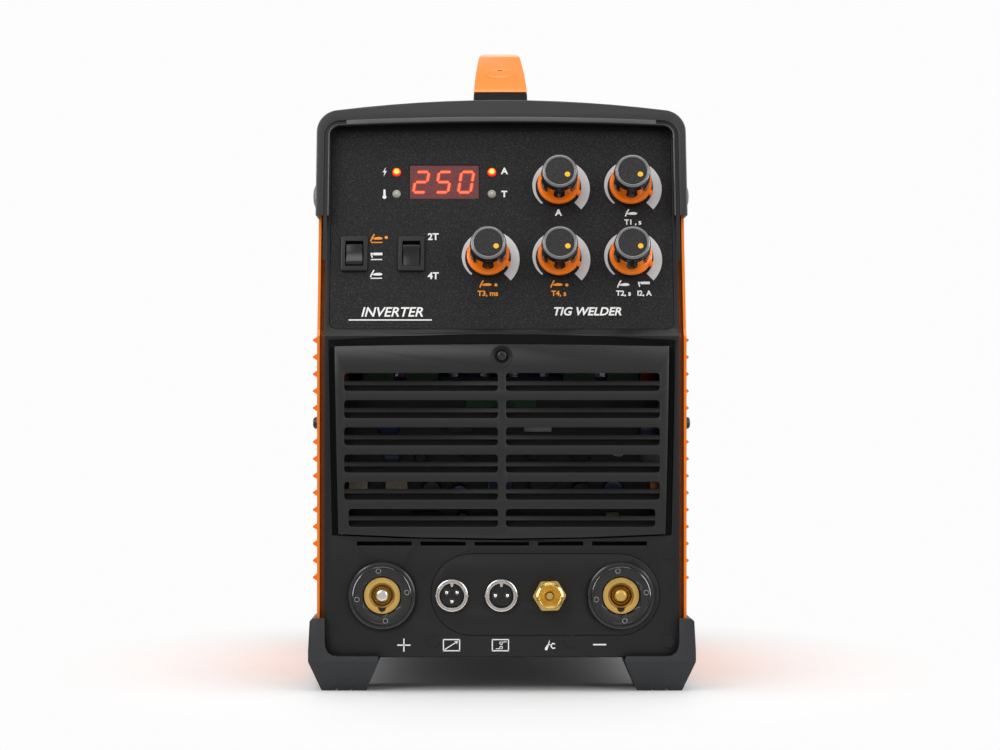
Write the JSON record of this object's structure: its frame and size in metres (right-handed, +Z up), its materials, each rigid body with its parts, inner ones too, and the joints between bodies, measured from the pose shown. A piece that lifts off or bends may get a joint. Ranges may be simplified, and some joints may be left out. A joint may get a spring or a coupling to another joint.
{
  "type": "tig welding machine",
  "caption": "Portable TIG welding inverter with an inclined control panel, rotary knobs, rocker switches, front grille, cable sockets, carrying handle and corner feet.",
  "frame": {"origin": "on the floor under the middle of the machine's box", "axes": "+X to the right seen from the front, +Y from the front face to the back, +Z up"},
  "size_m": [0.2152, 0.4699, 0.37],
  "materials": {
    "orange_paint": "vivid orange powder coat, fine texture, semi-gloss",
    "orange_plastic": "orange moulded plastic, semi-gloss",
    "black_moulding": "black moulded plastic, satin",
    "hood_moulding": "dark grey moulded plastic, satin with lighter edges",
    "foot_moulding": "dark grey tough moulded plastic",
    "grained_black": "black plastic with leather-like grain",
    "panel_overlay": "black grained overlay with white and orange print",
    "dark_steel": "dark grey powder coat",
    "display_window": "red tinted window with lit segments",
    "lamp_lit": "lit red lamp",
    "lamp_clear": "unlit diffused lamp",
    "socket_moulding": "black glass-filled plastic, glossy",
    "brass": "turned and milled brass",
    "nickel": "nickel-plated shell",
    "insert_black": "black insulating insert with nickel pins",
    "steel": "zinc-plated steel",
    "knob_black": "black plastic, grained top with a glossy rim",
    "switch_black": "black nylon, satin gloss",
    "gland_black": "black nylon",
    "fan_black": "black fan plastic",
    "circuit_board": "green solder mask with parts",
    "aluminium": "extruded aluminium",
    "ferrite": "dark ferrite core with taped winding",
    "copper_winding": "enamelled copper winding",
    "capacitor_sleeve": "dark blue shrink sleeve"
  },
  "bodies": {
    "chassis": {"base_tray": "dark_steel", "outer_cover": "orange_paint", "front_fascia": "black_moulding", "connector_plate": "black_moulding", "front_hood": "hood_moulding", "rear_hood": "hood_moulding", "air_grille": "black_moulding", "grille_screw": "steel", "handle_base": "grained_black", "handle_grip_cover": "orange_plastic", "front_left_foot": "foot_moulding", "front_right_foot": "foot_moulding", "rear_left_foot": "foot_moulding", "rear_right_foot": "foot_moulding", "control_panel": "panel_overlay", "control_board": "circuit_board", "display_module": "display_window", "mains_lamp": "lamp_lit", "current_lamp": "lamp_lit", "heat_lamp": "lamp_clear", "time_lamp": "lamp_clear", "positive_socket_body": "socket_moulding", "negative_socket_body": "socket_moulding", "positive_socket_contact": "brass", "negative_socket_contact": "brass", "remote_socket_shell": "nickel", "torch_socket_shell": "nickel", "remote_socket_insert": "insert_black", "torch_socket_insert": "insert_black", "gas_outlet": "brass", "rear_panel": "dark_steel", "fan_housing": "fan_black", "power_switch_housing": "switch_black", "mains_gland": "gland_black", "gas_inlet": "brass", "earth_stud": "brass", "power_board": "circuit_board", "heat_sink_left": "aluminium", "heat_sink_right": "aluminium", "main_transformer": "ferrite", "output_choke": "copper_winding", "capacitor_bank": "capacitor_sleeve", "gas_valve": "steel", "mode_switch_housing": "switch_black", "cycle_switch_housing": "switch_black"},
    "main_current_control": {"main_current_knob": "knob_black", "main_current_skirt": "orange_plastic"},
    "slope_down_control": {"slope_down_knob": "knob_black", "slope_down_skirt": "orange_plastic"},
    "base_current_control": {"base_current_knob": "knob_black", "base_current_skirt": "orange_plastic"},
    "pulse_time_control": {"pulse_time_knob": "knob_black", "pulse_time_skirt": "orange_plastic"},
    "gas_time_control": {"gas_time_knob": "knob_black", "gas_time_skirt": "orange_plastic"},
    "mode_rocker": {"mode_switch_rocker": "switch_black"},
    "cycle_rocker": {"cycle_switch_rocker": "switch_black"},
    "power_rocker": {"power_switch_rocker": "switch_black"},
    "fan_wheel": {"fan_rotor": "fan_black"}
  },
  "joints": [
    {"name": "main_current_turn", "type": "hinge", "parent": "chassis", "child": "main_current_control", "pos_m": [0.0323, -0.19418, 0.28099], "axis": [0, 0.9613, -0.2756], "range_deg": [-250, 20]},
    {"name": "slope_down_turn", "type": "hinge", "parent": "chassis", "child": "slope_down_control", "pos_m": [0.0729, -0.19418, 0.28099], "axis": [0, 0.9613, -0.2756], "range_deg": [-250, 20]},
    {"name": "base_current_turn", "type": "hinge", "parent": "chassis", "child": "base_current_control", "pos_m": [-0.0076, -0.20584, 0.24033], "axis": [0, 0.9613, -0.2756], "range_deg": [-250, 20]},
    {"name": "pulse_time_turn", "type": "hinge", "parent": "chassis", "child": "pulse_time_control", "pos_m": [0.0321, -0.20584, 0.24033], "axis": [0, 0.9613, -0.2756], "range_deg": [-250, 20]},
    {"name": "gas_time_turn", "type": "hinge", "parent": "chassis", "child": "gas_time_control", "pos_m": [0.0724, -0.20584, 0.24033], "axis": [0, 0.9613, -0.2756], "range_deg": [-250, 20]},
    {"name": "mode_rocker_tilt", "type": "hinge", "parent": "chassis", "child": "mode_rocker", "pos_m": [-0.0826, -0.20295, 0.24242], "axis": [1, 0, 0], "range_deg": [0, 24]},
    {"name": "cycle_rocker_tilt", "type": "hinge", "parent": "chassis", "child": "cycle_rocker", "pos_m": [-0.0506, -0.20295, 0.24242], "axis": [1, 0, 0], "range_deg": [-24, 0]},
    {"name": "power_rocker_tilt", "type": "hinge", "parent": "chassis", "child": "power_rocker", "pos_m": [-0.055, 0.2135, 0.265], "axis": [1, 0, 0], "range_deg": [0, 24]},
    {"name": "fan_spin", "type": "hinge", "parent": "chassis", "child": "fan_wheel", "pos_m": [0, 0.2, 0.122], "axis": [0, 1, 0], "continuous": true}
  ]
}
